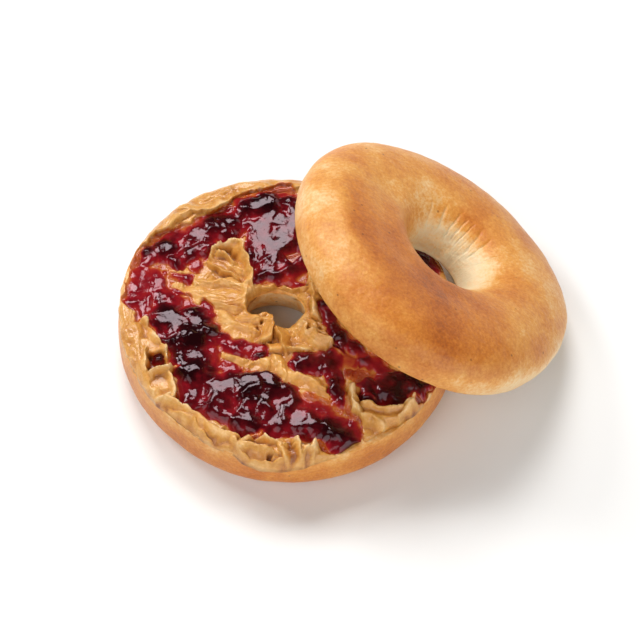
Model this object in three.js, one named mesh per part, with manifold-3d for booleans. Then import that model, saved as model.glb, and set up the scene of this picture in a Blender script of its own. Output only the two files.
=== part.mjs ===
// An open bagel sandwich. The lower half lies on its base, its cut face spread with peanut butter and
// with jam on top of that. The upper half leans against it, crust up, one edge down on the table.

import * as THREE from 'three';
import { mergeVertices } from 'three/addons/utils/BufferGeometryUtils.js';
import loadManifold from 'manifold-3d';

// Driving dimensions in millimetres and degrees, each half in its own frame with its cut face level

const LOWER_RADIUS = 60;
const LOWER_HEIGHT = 20.5;
const LOWER_WIDEST_AT = 9.6;
const LOWER_BASE_RADIUS = 47;
const LOWER_BASE_HOLE_RADIUS = 19;
const LOWER_HOLE_RADIUS = 9;
const LOWER_HOLE_CENTRE = new THREE.Vector2(-3.8, 0);

const UPPER_RADIUS = 54.9;
const UPPER_HEIGHT = 18.2;
const UPPER_WIDEST_AT = 6.4;
const UPPER_CREST_RADIUS = 34.8;
const UPPER_HOLE_RADIUS = 12.9;
const UPPER_HOLE_CENTRE = new THREE.Vector2(1.9, 0.7);
const UPPER_CENTRE = new THREE.Vector2(46.9, 12.3);
const UPPER_HEADING = THREE.MathUtils.degToRad(27.6);
const UPPER_LEAN = THREE.MathUtils.degToRad(32.8);

const CUT_EDGE_INSET = 1;
const CLEARANCE = 0.3;
const BUTTER_THICKNESS = 1.9;
const BUTTER_RADIUS = 57.6;
const BUTTER_HOLE_RADIUS = 8.3;
const JAM_SUNK = 0.9;
const JAM_EDGE = 0.05;

const LOWER_STEPS = 64;
const UPPER_STEPS = 80;
const BUTTER_STEPS = 100;
const BUTTER_ROWS = 16;
const JAM_STEPS = 80;
const JAM_ROWS = 11;
const CURVE_STEPS = 5;

// How far each outline strays from round, as waves of so many lobes: lobes, size, where the crest is

const LOWER_WAVES = [[2, 0.95, -41.7], [3, 0.4, 21.4]];
const LOWER_HOLE_WAVES = [[2, 1.5, 0]];
const UPPER_WAVES = [[2, 1.04, 34.5], [3, 1.27, -17.3]];
const UPPER_HOLE_WAVES = [];
const BUTTER_WAVES = [[3, 0.5, 100], [5, 0.5, 20], [9, 0.4, 60]];
const BUTTER_HOLE_WAVES = [[2, 1.4, 0], [3, 0.6, 55], [5, 0.4, 80]];

// Strokes of the knife in the peanut butter. A bend bows the stroke to its left, and a lift raises its end.

const KNIFE_STROKES = [
  // the folded edge along the upper left and the left
  { from: [3, 55], to: [-22, 51], bend: -2.5, width: 9, height: 3.2, lift: 0 },
  { from: [-9, 53], to: [-38, 43.5], bend: -3.5, width: 8.4, height: 4.1, lift: 0 },
  { from: [-34, 46], to: [-53, 24], bend: -2.5, width: 9.2, height: 2.9, lift: 0 },
  { from: [-56, -6], to: [-43.5, -20], bend: -1, width: 9.2, height: 3.4, lift: 0.2 },
  { from: [-45, -27], to: [-37.5, -24], bend: 0.5, width: 5.2, height: 5, lift: 0.4 },
  { from: [-38, -26], to: [-39, -40], bend: 1.5, width: 6.8, height: 4.2, lift: 0 },
  { from: [-42, -38], to: [-14, -55.5], bend: -3.5, width: 9, height: 3.6, lift: 0 },
  // the rough curls of the front edge
  { from: [-8, -49.5], to: [-11, -57.5], bend: 0.8, width: 6.4, height: 4.8, lift: -0.4 },
  { from: [-2, -51], to: [-5, -58.5], bend: 0.5, width: 6, height: 4.2, lift: 0 },
  { from: [6, -50.5], to: [3, -59], bend: -0.6, width: 6, height: 4.8, lift: -0.4 },
  { from: [12, -50.5], to: [8, -57.5], bend: 0.5, width: 5.4, height: 4, lift: 0 },
  // the curl at the right, with a peak at each end
  { from: [24.5, -27], to: [24, -40], bend: -1.6, width: 5.4, height: 6.4, lift: -0.3 },
  { from: [25, -43], to: [41, -41], bend: -2.2, width: 6.8, height: 5, lift: 0 },
  { from: [39, -42], to: [45, -31], bend: -1, width: 5.2, height: 5.4, lift: 0.4 },
  // the hooked curl left of the hole and the shelf under it
  { from: [-27.5, 26.5], to: [-19, 27], bend: 1.6, width: 6.4, height: 6.4, lift: 0 },
  { from: [-20.5, 27], to: [-14.5, 11], bend: 1.6, width: 5.8, height: 5.2, lift: 0 },
  { from: [-29, 20], to: [-16, 16], bend: 0.8, width: 9, height: 4.2, lift: 0 },
  { from: [-31, 10], to: [-14, -3], bend: 0, width: 14, height: 3.4, lift: 0 },
  // the lip and the petals round the hole
  { from: [-12, 9.5], to: [6, 10.5], bend: 1.5, width: 5.6, height: 3.4, lift: 0 },
  { from: [8.5, 11], to: [10, -5], bend: 1.2, width: 5.6, height: 4.4, lift: 0 },
  { from: [-9, -6], to: [-10, -13], bend: 0.8, width: 5.6, height: 4.8, lift: -0.3 },
  { from: [4, -8], to: [16.8, -15.2], bend: -0.8, width: 5.8, height: 5, lift: 0.4 },
  { from: [-8, -17.5], to: [15, -16], bend: -1.5, width: 6.4, height: 3.4, lift: 0 },
  // bare strips that show between the jam
  { from: [-20, -20], to: [4, -28], bend: 1.2, width: 6, height: 4.4, lift: 0 },
  { from: [4, -28], to: [17, -34], bend: 0.5, width: 7, height: 3.6, lift: 0 },
];

// Dollops of jam: the two ends of each, how wide it is and how far it stands above the peanut butter

const JAM_DOLLOPS = [
  // the wide patch behind the hole, on under the upper half and round to the right
  { from: [-1, 46.5], to: [-14, 45], width: 13, height: 2.6 },
  { from: [-3, 42], to: [-3, 20.5], width: 17.6, height: 3 },
  { from: [4, 44], to: [28, 38], width: 16, height: 2.2 },
  { from: [28, 38], to: [47, 20], width: 13, height: 1.6 },
  { from: [47, 20], to: [47, -14], width: 12, height: 1.8 },
  // the band along the left
  { from: [-8, 36], to: [-24, 33], width: 16, height: 2.8 },
  { from: [-24, 33], to: [-46, 21], width: 15, height: 2.6 },
  { from: [-46, 20], to: [-49, 2], width: 11, height: 2.4 },
  { from: [-44, 12], to: [-39, -8], width: 13, height: 2.5 },
  { from: [-38, -8], to: [-32, -22], width: 17.4, height: 3 },
  { from: [-32, -22], to: [-28, -34], width: 14, height: 3 },
  // the broad patch in front
  { from: [-26, -16], to: [-11, -16.5], width: 8.4, height: 3 },
  { from: [-24, -34], to: [-4, -36], width: 18, height: 3.2 },
  { from: [-14, -43], to: [2, -43.5], width: 14.4, height: 2.8 },
  { from: [2, -40], to: [20, -45], width: 16, height: 2.7 },
  { from: [6, -22], to: [16, -20], width: 9, height: 2.8 },
  { from: [17, -22], to: [18, -38], width: 8.4, height: 2.4 },
  // the strip beside the upper half and the pool in the right curl
  { from: [14.5, 4], to: [20, -13], width: 8, height: 2.4 },
  { from: [20, -14], to: [38, -24], width: 12, height: 1.8 },
  { from: [32, -31], to: [46, -27], width: 11, height: 3.2 },
];

// Shared geometry

function wavy(angle, waves) {
  return waves.reduce((sum, [lobes, size, crest]) => (
    sum + size * Math.cos(lobes * (angle - THREE.MathUtils.degToRad(crest)))
  ), 0);
}

function towards(angle, radius) {
  return new THREE.Vector2(Math.cos(angle), Math.sin(angle)).multiplyScalar(radius);
}

// A closed profile turned about the upright axis, with every point then moved to its own place
function ring(profile, steps, place) {
  const geometry = new THREE.LatheGeometry([...profile, profile[0]], steps);
  geometry.rotateX(Math.PI / 2);
  geometry.deleteAttribute('normal');
  geometry.deleteAttribute('uv');
  const merged = mergeVertices(geometry, 1e-4);
  const points = merged.getAttribute('position');
  for (let i = 0; i < points.count; i += 1) {
    const radius = Math.hypot(points.getX(i), points.getY(i));
    const angle = Math.atan2(points.getY(i), points.getX(i));
    const moved = place(radius, angle, points.getZ(i));
    points.setXYZ(i, moved.x, moved.y, moved.z);
  }
  merged.computeVertexNormals();
  return merged;
}

// One half of the bagel: rim and hole out of round by their waves, the hole off centre and the rim in place
function bagelHalf(path, steps, rim, hole) {
  const profile = path.getPoints(CURVE_STEPS).slice(0, -1);
  return ring(profile, steps, (radius, angle, height) => {
    const inward = THREE.MathUtils.clamp((rim.radius - radius) / (rim.radius - hole.radius), 0, 1);
    const outline = radius * (1 + wavy(angle, rim.waves) / rim.radius);
    const spot = towards(angle, outline + inward * wavy(angle, hole.waves));
    spot.addScaledVector(hole.centre, inward);
    return new THREE.Vector3(spot.x, spot.y, height);
  });
}

// The lower half: a flat base, a round side, a level cut face and a hole that narrows upwards

function lowerHalf() {
  const cutRadius = LOWER_RADIUS - CUT_EDGE_INSET;
  const sideRise = LOWER_HEIGHT - LOWER_WIDEST_AT;
  const path = new THREE.Path();
  path.moveTo(LOWER_BASE_HOLE_RADIUS, 0);
  path.lineTo(LOWER_BASE_RADIUS, 0);
  path.bezierCurveTo(
    LOWER_BASE_RADIUS + 7, 0, LOWER_RADIUS, LOWER_WIDEST_AT * 0.4, LOWER_RADIUS, LOWER_WIDEST_AT,
  );
  path.quadraticCurveTo(LOWER_RADIUS, LOWER_WIDEST_AT + sideRise / 2, cutRadius, LOWER_HEIGHT);
  path.lineTo(LOWER_HOLE_RADIUS, LOWER_HEIGHT);
  path.quadraticCurveTo(LOWER_HOLE_RADIUS, LOWER_HEIGHT / 3, LOWER_BASE_HOLE_RADIUS, 0);
  const rim = { radius: LOWER_RADIUS, waves: LOWER_WAVES };
  const hole = { radius: LOWER_HOLE_RADIUS, waves: LOWER_HOLE_WAVES, centre: LOWER_HOLE_CENTRE };
  return bagelHalf(path, LOWER_STEPS, rim, hole);
}

// The upper half: a level cut face below, and a crust that rounds over from the rim into the hole

function upperHalf() {
  const round = 0.56;
  const rimReach = UPPER_RADIUS - UPPER_CREST_RADIUS;
  const rimRise = UPPER_HEIGHT - UPPER_WIDEST_AT;
  const holeReach = UPPER_CREST_RADIUS - UPPER_HOLE_RADIUS;
  const path = new THREE.Path();
  path.moveTo(UPPER_HOLE_RADIUS, 0);
  path.lineTo(UPPER_RADIUS - CUT_EDGE_INSET, 0);
  path.quadraticCurveTo(UPPER_RADIUS, UPPER_WIDEST_AT / 2, UPPER_RADIUS, UPPER_WIDEST_AT);
  path.bezierCurveTo(
    UPPER_RADIUS, UPPER_WIDEST_AT + round * rimRise,
    UPPER_CREST_RADIUS + round * rimReach, UPPER_HEIGHT,
    UPPER_CREST_RADIUS, UPPER_HEIGHT,
  );
  path.bezierCurveTo(
    UPPER_CREST_RADIUS - round * holeReach, UPPER_HEIGHT,
    UPPER_HOLE_RADIUS, round * UPPER_HEIGHT,
    UPPER_HOLE_RADIUS, 0,
  );
  const rim = { radius: UPPER_RADIUS, waves: UPPER_WAVES };
  const hole = { radius: UPPER_HOLE_RADIUS, waves: UPPER_HOLE_WAVES, centre: UPPER_HOLE_CENTRE };
  return bagelHalf(path, UPPER_STEPS, rim, hole);
}

// The upper half's place: turned to its heading, leaned over, and lowered until its rim meets the table

function standUpperHalf(mesh) {
  const stand = new THREE.Group();
  stand.add(mesh);
  stand.rotation.set(0, UPPER_LEAN, UPPER_HEADING, 'ZYX');
  stand.position.set(UPPER_CENTRE.x, UPPER_CENTRE.y, 0);
  const lowest = new THREE.Box3().setFromObject(stand, true).min.z;
  stand.position.z = -lowest;
  return stand;
}

// The height of the upper half's cut face above a spot of the lower half
function leaningFaceAt(spot, stand) {
  const up = new THREE.Vector3(0, 0, 1).applyEuler(stand.rotation);
  const slope = (spot.x - UPPER_CENTRE.x) * up.x + (spot.y - UPPER_CENTRE.y) * up.y;
  return stand.position.z - slope / up.z;
}

// Where a spot lies against a stroke: how far along it from 0 to 1, and how far off its centre line
function besideStroke(spot, { from, to, bend = 0 }) {
  const start = new THREE.Vector2(...from);
  const run = new THREE.Vector2(...to).sub(start);
  const length = run.length();
  const offset = spot.clone().sub(start);
  const reach = offset.dot(run) / length;
  const along = THREE.MathUtils.clamp(reach / length, 0, 1);
  const across = run.cross(offset) / length - bend * 4 * along * (1 - along);
  return { along, distance: Math.hypot(across, reach - along * length) };
}

// The peanut butter: a layer with a rounded edge, raised along each stroke, pressed flat by the upper half

function butterDepth(spot) {
  return KNIFE_STROKES.reduce((depth, stroke) => {
    const { along, distance } = besideStroke(spot, stroke);
    const crown = THREE.MathUtils.smoothstep(1 - (2 * distance) / stroke.width, 0, 0.6);
    const ridge = stroke.height * (1 + stroke.lift * (2 * along - 1)) * crown;
    return Math.max(depth, ridge);
  }, BUTTER_THICKNESS);
}

// A spot of a spread layer, from its edge at the hole (0) to its edge at the rim (1)
function spreadSpot(share, angle, inset) {
  const holeEdge = towards(angle, BUTTER_HOLE_RADIUS + wavy(angle, BUTTER_HOLE_WAVES) + inset);
  const rimEdge = towards(angle, BUTTER_RADIUS + wavy(angle, BUTTER_WAVES) - inset);
  return holeEdge.add(LOWER_HOLE_CENTRE).lerp(rimEdge, share);
}

// A flat layer's profile: the underside, then a row of points back across the top, on radii 1 to 2
function layerProfile(rows) {
  const edges = [new THREE.Vector2(1, 0), new THREE.Vector2(2, 0)];
  const top = [];
  for (let row = rows - 1; row > 0; row -= 1) {
    const share = row / rows;
    const crowded = share - 0.05 * Math.sin(2 * Math.PI * share);
    top.push(new THREE.Vector2(1 + crowded, 1));
  }
  return [...edges, ...top];
}

function butterLayer(stand, raised) {
  return ring(layerProfile(BUTTER_ROWS), BUTTER_STEPS, (radius, angle, top) => {
    const share = THREE.MathUtils.clamp(radius - 1, 0, 1);
    const spot = spreadSpot(share, angle, 0);
    const edge = Math.sqrt(1 - Math.abs(2 * share - 1) ** 10);
    const pressed = leaningFaceAt(spot, stand) - LOWER_HEIGHT - 2 * CLEARANCE;
    const depth = Math.min(butterDepth(spot) * edge, pressed) + raised;
    return new THREE.Vector3(spot.x, spot.y, LOWER_HEIGHT + CLEARANCE + top * depth);
  });
}

// The jam: a layer sunk below the peanut butter where there is no dollop, so that only dollops stand clear

function jamLevel(spot) {
  return JAM_DOLLOPS.reduce((level, dollop) => {
    const { distance } = besideStroke(spot, dollop);
    const out = Math.min(1, (2 * distance) / dollop.width);
    const bulge = Math.sqrt(1 - out * out);
    return bulge > 0 ? Math.max(level, BUTTER_THICKNESS + JAM_EDGE + dollop.height * bulge) : level;
  }, JAM_SUNK);
}

function jamLayer(stand) {
  const inset = 2.4;
  return ring(layerProfile(JAM_ROWS), JAM_STEPS, (radius, angle, top) => {
    const spot = spreadSpot(radius - 1, angle, inset);
    const pressed = leaningFaceAt(spot, stand) - LOWER_HEIGHT - CLEARANCE;
    const floor = JAM_SUNK / 2;
    const level = top > 0 ? Math.min(jamLevel(spot), pressed) : floor;
    return new THREE.Vector3(spot.x, spot.y, LOWER_HEIGHT + level);
  });
}

// The largest piece left of one closed shape when another is taken away from it
async function cutAway(shape, tool) {
  const library = await loadManifold();
  library.setup();
  const solid = (geometry) => new library.Manifold(new library.Mesh({
    numProp: 3,
    vertProperties: new Float32Array(geometry.getAttribute('position').array),
    triVerts: new Uint32Array(geometry.getIndex().array),
  }));
  const pieces = solid(shape).subtract(solid(tool)).decompose();
  const largest = pieces.reduce((best, piece) => (piece.volume() > best.volume() ? piece : best));
  const { vertProperties, triVerts } = largest.getMesh();
  const geometry = new THREE.BufferGeometry();
  geometry.setAttribute('position', new THREE.BufferAttribute(vertProperties, 3));
  geometry.setIndex(new THREE.BufferAttribute(triVerts, 1));
  geometry.computeVertexNormals();
  return geometry;
}

// The sandwich put together, with its origin under the middle of the whole

function mesh(name, geometry, color, roughness) {
  const material = new THREE.MeshStandardMaterial({ color, roughness, metalness: 0 });
  const piece = new THREE.Mesh(geometry, material);
  piece.name = name;
  return piece;
}

const upper = standUpperHalf(mesh('bagel_top', upperHalf(), '#cf8f4c', 0.42));
const lower = mesh('bagel_bottom', lowerHalf(), '#d3a066', 0.55);
const butter = mesh('peanut_butter', butterLayer(upper, 0), '#c98d47', 0.4);
const jamShape = await cutAway(jamLayer(upper), butterLayer(upper, CLEARANCE));
const jam = mesh('jam', jamShape, '#4c0d1f', 0.1);

const sandwich = new THREE.Group();
sandwich.add(lower, butter, jam, upper);
const box = new THREE.Box3().setFromObject(sandwich, true);
const middle = box.getCenter(new THREE.Vector3());
sandwich.position.set(-middle.x, -middle.y, -box.min.z);

export default sandwich;
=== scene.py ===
# An open bagel sandwich on a pale table: the lower half spread with peanut butter and jam, and the upper
# half leaning against it. Shapes are worked out in millimetres in the lower half's own frame, its axis
# upright through x = y = 0 and the table at z = 0, and are turned to metres when they are placed.
import itertools

import bpy
import numpy as np
from mathutils import Matrix, Vector


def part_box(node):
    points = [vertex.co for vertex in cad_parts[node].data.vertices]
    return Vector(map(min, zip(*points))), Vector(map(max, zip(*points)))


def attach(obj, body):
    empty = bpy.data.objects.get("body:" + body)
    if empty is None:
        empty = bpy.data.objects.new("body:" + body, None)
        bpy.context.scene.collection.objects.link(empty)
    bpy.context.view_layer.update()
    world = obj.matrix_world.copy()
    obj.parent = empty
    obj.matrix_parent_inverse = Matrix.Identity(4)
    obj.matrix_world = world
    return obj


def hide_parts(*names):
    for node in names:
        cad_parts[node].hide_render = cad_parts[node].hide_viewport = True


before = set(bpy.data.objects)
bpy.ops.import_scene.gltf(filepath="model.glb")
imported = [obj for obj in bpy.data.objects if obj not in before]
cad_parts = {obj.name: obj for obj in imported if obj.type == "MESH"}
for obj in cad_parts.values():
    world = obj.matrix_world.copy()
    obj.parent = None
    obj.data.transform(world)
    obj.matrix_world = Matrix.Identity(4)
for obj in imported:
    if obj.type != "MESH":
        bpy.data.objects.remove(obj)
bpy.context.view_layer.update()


# The lower half
# A boiled and baked ring of bread dough, sliced level through the middle, which lies on its flat baked base.
# The side is thin golden crust, the cut face is pale open crumb, and the oval hole widens downwards.

LOWER_RADIUS = 60.0
LOWER_HEIGHT = 20.5
LOWER_WIDEST_AT = 9.6
LOWER_BASE_RADIUS = 47.0
LOWER_BASE_HOLE_RADIUS = 19.0
LOWER_BASE_TURN = 7.0
LOWER_HOLE_RADIUS = 9.0
LOWER_HOLE_CENTRE = np.array([-3.8, 0.8])
LOWER_WAVES = [(2, 0.95, -41.7), (3, 0.4, 21.4)]
LOWER_HOLE_WAVES = [(2, 1.1, 0.0)]
LOWER_AROUND = 720
CUT_EDGE_INSET = 1.0
CUT_RIM_WIDTH = 9.0


def wavy(angle, waves):
    """How far an outline strays from round: a sum of cosines, each with so many lobes, a size in mm and
    the angle of one crest in degrees."""
    return 0 * angle + sum(
        size * np.cos(lobes * (angle - np.radians(crest))) for lobes, size, crest in waves)


def once_round(count):
    """So many equal steps of angle round the axis, without the last, which is the first again."""
    return np.linspace(0, 2 * np.pi, count, endpoint=False)


def way_at(angle):
    """The unit direction at an angle round the axis."""
    return np.stack([np.cos(angle), np.sin(angle)], -1)


def bow(controls, steps):
    """A Bezier curve from the first to the last of its control points, without its last point: neighbouring
    controls are blended by the share along the curve, again and again until one point is left."""
    share = np.arange(steps)[:, None] / steps
    points = [np.array(control, float) for control in controls]
    while len(points) > 1:
        points = [near + (far - near) * share for near, far in zip(points, points[1:])]
    return points[0]


def turned_half(profile, angle, rim, rim_waves, hole, hole_waves, hole_centre):
    """Half a bagel: a closed profile of radius and height carried round the axis. The rim's waves scale the
    radius. The hole's waves and its shift off centre act fully at the hole and not at all at the rim."""
    radius = profile[None, :, 0]
    inward = np.clip((rim - radius) / (rim - hole), 0, 1)
    outline = radius * (1 + wavy(angle, rim_waves) / rim)[:, None]
    outline = outline + inward * wavy(angle, hole_waves)[:, None]
    return np.stack([
        outline * np.cos(angle)[:, None] + inward * hole_centre[0],
        outline * np.sin(angle)[:, None] + inward * hole_centre[1],
        np.broadcast_to(profile[None, :, 1], outline.shape),
    ], -1)


def lumps(points, size, seed):
    """Smooth noise, about -1 to 1, in lumps of the given size: each corner of a cubic lattice has a random
    slope, and the slopes are blended across a cell by a fifth-power fade."""
    draw = np.random.default_rng(seed)
    slopes = draw.normal(size=(256, 3))
    slopes /= np.linalg.norm(slopes, axis=1, keepdims=True)
    shuffle = draw.permutation(256)
    spot = points / size
    cell = np.floor(spot).astype(int)
    part = spot - cell
    fade = part ** 3 * (part * (part * 6 - 15) + 10)
    total = np.zeros(points.shape[:-1])
    for corner in itertools.product((0, 1), repeat=3):
        at = (cell + corner) & 255
        pick = shuffle[(shuffle[(shuffle[at[..., 0]] + at[..., 1]) & 255] + at[..., 2]) & 255]
        weight = np.prod(np.where(corner, fade, 1 - fade), axis=-1)
        total += weight * np.sum(slopes[pick] * (part - corner), axis=-1)
    return 1.6 * total


def layered(points, layers, seed):
    """Noise in several sizes: a sum of lumps, each layer with its weight and size and the next seed."""
    return sum(weight * lumps(points, size, seed + at) for at, (weight, size) in enumerate(layers))


def ramp(value, low, high):
    """A smooth step: 0 below low, 1 above high, and a cubic ease between."""
    share = np.clip((value - low) / (high - low), 0, 1)
    return share * share * (3 - 2 * share)


def outward(grid):
    """Unit normals of a closed grid of points: the cross product of its two central differences."""
    around = np.roll(grid, -1, 0) - np.roll(grid, 1, 0)
    along = np.roll(grid, -1, 1) - np.roll(grid, 1, 1)
    normal = np.cross(around, along)
    return normal / np.maximum(np.linalg.norm(normal, axis=-1, keepdims=True), 1e-9)


def placed(points):
    """Points in metres in the sandwich's frame, from millimetres in the lower half's frame."""
    return (points + np.array([lower_axis[0], lower_axis[1], 0.0])) / 1000


def closed_quads(rows, columns):
    """The four corners of each cell of a grid that closes on itself both ways."""
    index = np.arange(rows * columns).reshape(rows, columns)
    ahead = np.roll(index, -1, 0)
    return np.stack([index, ahead, np.roll(ahead, -1, 1), np.roll(index, -1, 1)], -1).reshape(-1, 4)


def smooth_piece(name, points, quads, attributes):
    """An object from points, four-cornered faces and, for each named attribute, one number a point."""
    mesh = bpy.data.meshes.new(name)
    mesh.vertices.add(len(points))
    mesh.vertices.foreach_set("co", points.astype(np.float32).ravel())
    mesh.loops.add(quads.size)
    mesh.loops.foreach_set("vertex_index", quads.astype(np.int32).ravel())
    mesh.polygons.add(len(quads))
    mesh.polygons.foreach_set("loop_start", np.arange(0, quads.size, 4, dtype=np.int32))
    mesh.polygons.foreach_set("use_smooth", np.ones(len(quads), bool))
    for label, values in attributes.items():
        layer = mesh.attributes.new(label, "FLOAT", "POINT")
        layer.data.foreach_set("value", values.astype(np.float32).ravel())
    mesh.update(calc_edges=True)
    mesh.validate()
    piece = bpy.data.objects.new(name, mesh)
    bpy.context.scene.collection.objects.link(piece)
    return piece


def linear(colour):
    """A colour for a shader from an sRGB hex value, by the sRGB curve."""
    parts = [int(colour[at:at + 2], 16) / 255 for at in (1, 3, 5)]
    return [c / 12.92 if c <= 0.04045 else ((c + 0.055) / 1.055) ** 2.4 for c in parts] + [1.0]


def add_node(tree, kind, inputs=None, stops=None, **settings):
    """Adds a node: settings are its properties, inputs its sockets by name or number, as values or as other
    nodes' outputs, and stops the places and hex colours of a colour ramp."""
    node = tree.nodes.new("ShaderNode" + kind)
    for label, value in settings.items():
        setattr(node, label, value)
    for label, value in (inputs or {}).items():
        if isinstance(value, bpy.types.NodeSocket):
            tree.links.new(value, node.inputs[label])
        else:
            node.inputs[label].default_value = value
    for at, (place, colour) in enumerate(stops or []):
        spot = node.color_ramp.elements[at] if at < 2 else node.color_ramp.elements.new(place)
        spot.position = place
        spot.color = linear(colour)
    return node


def new_material(name):
    """An empty node material with its output node."""
    material = bpy.data.materials.new(name)
    material.use_nodes = True
    material.node_tree.nodes.clear()
    return material, material.node_tree, add_node(material.node_tree, "OutputMaterial")


lower_angle = once_round(LOWER_AROUND)
lower_rim = (LOWER_RADIUS + wavy(lower_angle, LOWER_WAVES))[:, None] * way_at(lower_angle)
lower_low, lower_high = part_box("bagel_bottom")
lower_axis = (np.array(lower_low + lower_high)[:2] * 1000 - lower_rim.min(0) - lower_rim.max(0)) / 2

cut_radius = LOWER_RADIUS - CUT_EDGE_INSET
side_middle = (LOWER_WIDEST_AT + LOWER_HEIGHT) / 2
lower_profile = np.concatenate([
    bow([(LOWER_BASE_HOLE_RADIUS, 0), (LOWER_BASE_RADIUS, 0)], 10),
    bow([(LOWER_BASE_RADIUS, 0), (LOWER_BASE_RADIUS + LOWER_BASE_TURN, 0),
         (LOWER_RADIUS, LOWER_WIDEST_AT * 0.4), (LOWER_RADIUS, LOWER_WIDEST_AT)], 26),
    bow([(LOWER_RADIUS, LOWER_WIDEST_AT), (LOWER_RADIUS, side_middle), (cut_radius, LOWER_HEIGHT)], 20),
    bow([(cut_radius, LOWER_HEIGHT), (cut_radius - CUT_RIM_WIDTH, LOWER_HEIGHT)], 18),
    bow([(cut_radius - CUT_RIM_WIDTH, LOWER_HEIGHT), (LOWER_HOLE_RADIUS, LOWER_HEIGHT)], 10),
    bow([(LOWER_HOLE_RADIUS, LOWER_HEIGHT), (LOWER_HOLE_RADIUS, LOWER_HEIGHT / 3),
         (LOWER_BASE_HOLE_RADIUS, 0)], 28),
])
lower_grid = turned_half(lower_profile, lower_angle, LOWER_RADIUS, LOWER_WAVES, LOWER_HOLE_RADIUS,
                         LOWER_HOLE_WAVES, LOWER_HOLE_CENTRE)
lower_radius = np.broadcast_to(lower_profile[None, :, 0], lower_grid.shape[:2])
lower_height = lower_grid[..., 2]
on_cut = ramp(lower_height, LOWER_HEIGHT - 0.6, LOWER_HEIGHT)
on_side = ramp(lower_radius, LOWER_BASE_RADIUS - 2, LOWER_BASE_RADIUS + 5) * (1 - on_cut)
on_base = 1 - ramp(lower_height, 0, 2.5)
in_hole = 1 - ramp(lower_radius, LOWER_BASE_HOLE_RADIUS, LOWER_BASE_HOLE_RADIUS + 2)

# The crumb is open, with pores of two sizes, the wall of the hole is closer, and the crust has shallow dents.
pores = np.minimum(0, lumps(lower_grid, 2.6, 11) + 0.25)
pores = pores + 0.5 * np.minimum(0, lumps(lower_grid, 1.3, 12) + 0.2)
lower_dents = layered(lower_grid, [(0.35, 24), (0.14, 8), (0.05, 2.4)], 13)
lower_relief = on_cut * 0.8 * pores + on_side * lower_dents + in_hole * (1 - on_cut) * 0.3 * pores
lower_grid = lower_grid + outward(lower_grid) * (lower_relief * (1 - on_base))[..., None]

# The crust is palest just under the cut, and the rim of the cut face is tan where spread has soaked in. Round
# the hole the cut face is painted tan, a painted shade under the spread that hangs over the lip.
side_browning = 0.46 + 0.16 * ramp(LOWER_HEIGHT - lower_height, 0.5, 8) + 0.14 * lumps(lower_grid, 14, 16)
base_browning = 0.8 + 0.12 * lumps(lower_grid, 12, 17)
rim_browning = (0.36 + 0.2 * lumps(lower_grid, 4, 18)) * ramp(lower_radius, cut_radius - 12, cut_radius - 5)
hole_browning = (0.26 + 0.2 * lumps(lower_grid, 5, 19)) * in_hole * (1 - on_cut)
# Painted shade: the cut face round the hole is darkened where the spread hangs over it.
hole_lip_painted_shade = 0.5 * (1 - ramp(lower_radius, LOWER_HOLE_RADIUS + 1, LOWER_HOLE_RADIUS + 6)) * on_cut
lower_browning_and_shade = on_side * side_browning + on_cut * rim_browning + hole_browning + hole_lip_painted_shade
past_hole = ramp(lower_radius, LOWER_BASE_HOLE_RADIUS - 1, LOWER_BASE_HOLE_RADIUS + 4)
lower_browning_and_shade = lower_browning_and_shade * (1 - on_base) + on_base * base_browning * past_hole
bagel_bottom = smooth_piece(
    "bagel_bottom_crust_and_crumb", placed(lower_grid.reshape(-1, 3)),
    closed_quads(*lower_grid.shape[:2]), {"browning_and_painted_light": lower_browning_and_shade})

# Bagel crust: boiled dough baked to a thin skin, golden brown where the oven caught it and cream where it
# stayed pale. It has a soft satin shine, a fine mottled grain, pores and here and there a dark speck. The
# scale of each pattern is 1000 over its size in millimetres.
crust, tree, output = new_material("baked_bagel_crust")
place = add_node(tree, "TexCoord").outputs["Object"]
# Besides baking, this attribute holds painted shade in the holes and a painted sheen on the upper half's left
# shoulder.
browning_and_painted_light = add_node(tree, "Attribute", attribute_name="browning_and_painted_light").outputs["Fac"]
mottle = add_node(tree, "TexNoise", {"Vector": place, "Scale": 1000 / 7, "Detail": 8, "Roughness": 0.68})
grit = add_node(tree, "TexNoise", {"Vector": place, "Scale": 1000 / 1.1, "Detail": 3, "Roughness": 0.65})
mottled = add_node(tree, "Math", {0: mottle.outputs["Fac"], 1: 0.6, 2: browning_and_painted_light}, operation="MULTIPLY_ADD")
gritty = add_node(tree, "Math", {0: grit.outputs["Fac"], 1: 0.52, 2: mottled.outputs[0]},
                  operation="MULTIPLY_ADD")
shade = add_node(tree, "Math", {0: gritty.outputs[0], 1: 0.56}, operation="SUBTRACT")
colour = add_node(tree, "ValToRGB", {"Fac": shade.outputs[0]}, stops=[
    (0.0, "#e8d2aa"), (1.0, "#8e4714"), (0.2, "#eac48c"), (0.42, "#de9a45"), (0.62, "#cc7b29"),
    (0.82, "#b46018")])
speck = add_node(tree, "TexVoronoi", {"Vector": place, "Scale": 1000 / 6.5, "Randomness": 1.0})
bent = add_node(tree, "Math", {0: grit.outputs["Fac"], 1: 0.12, 2: speck.outputs["Distance"]},
                operation="MULTIPLY_ADD")
pit = add_node(tree, "ValToRGB", {"Fac": bent.outputs[0]}, stops=[(0.09, "#7d4f2c"), (0.15, "#ffffff")])
specked = add_node(tree, "Mix", {0: 0.7, 6: colour.outputs["Color"], 7: pit.outputs["Color"]},
                   data_type="RGBA", blend_type="MULTIPLY")
wrinkle = add_node(tree, "TexNoise", {"Vector": place, "Scale": 1000 / 2.0, "Detail": 5, "Roughness": 0.62})
skin = add_node(tree, "Bump", {"Height": wrinkle.outputs["Fac"], "Strength": 0.8, "Distance": 0.0006})
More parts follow.
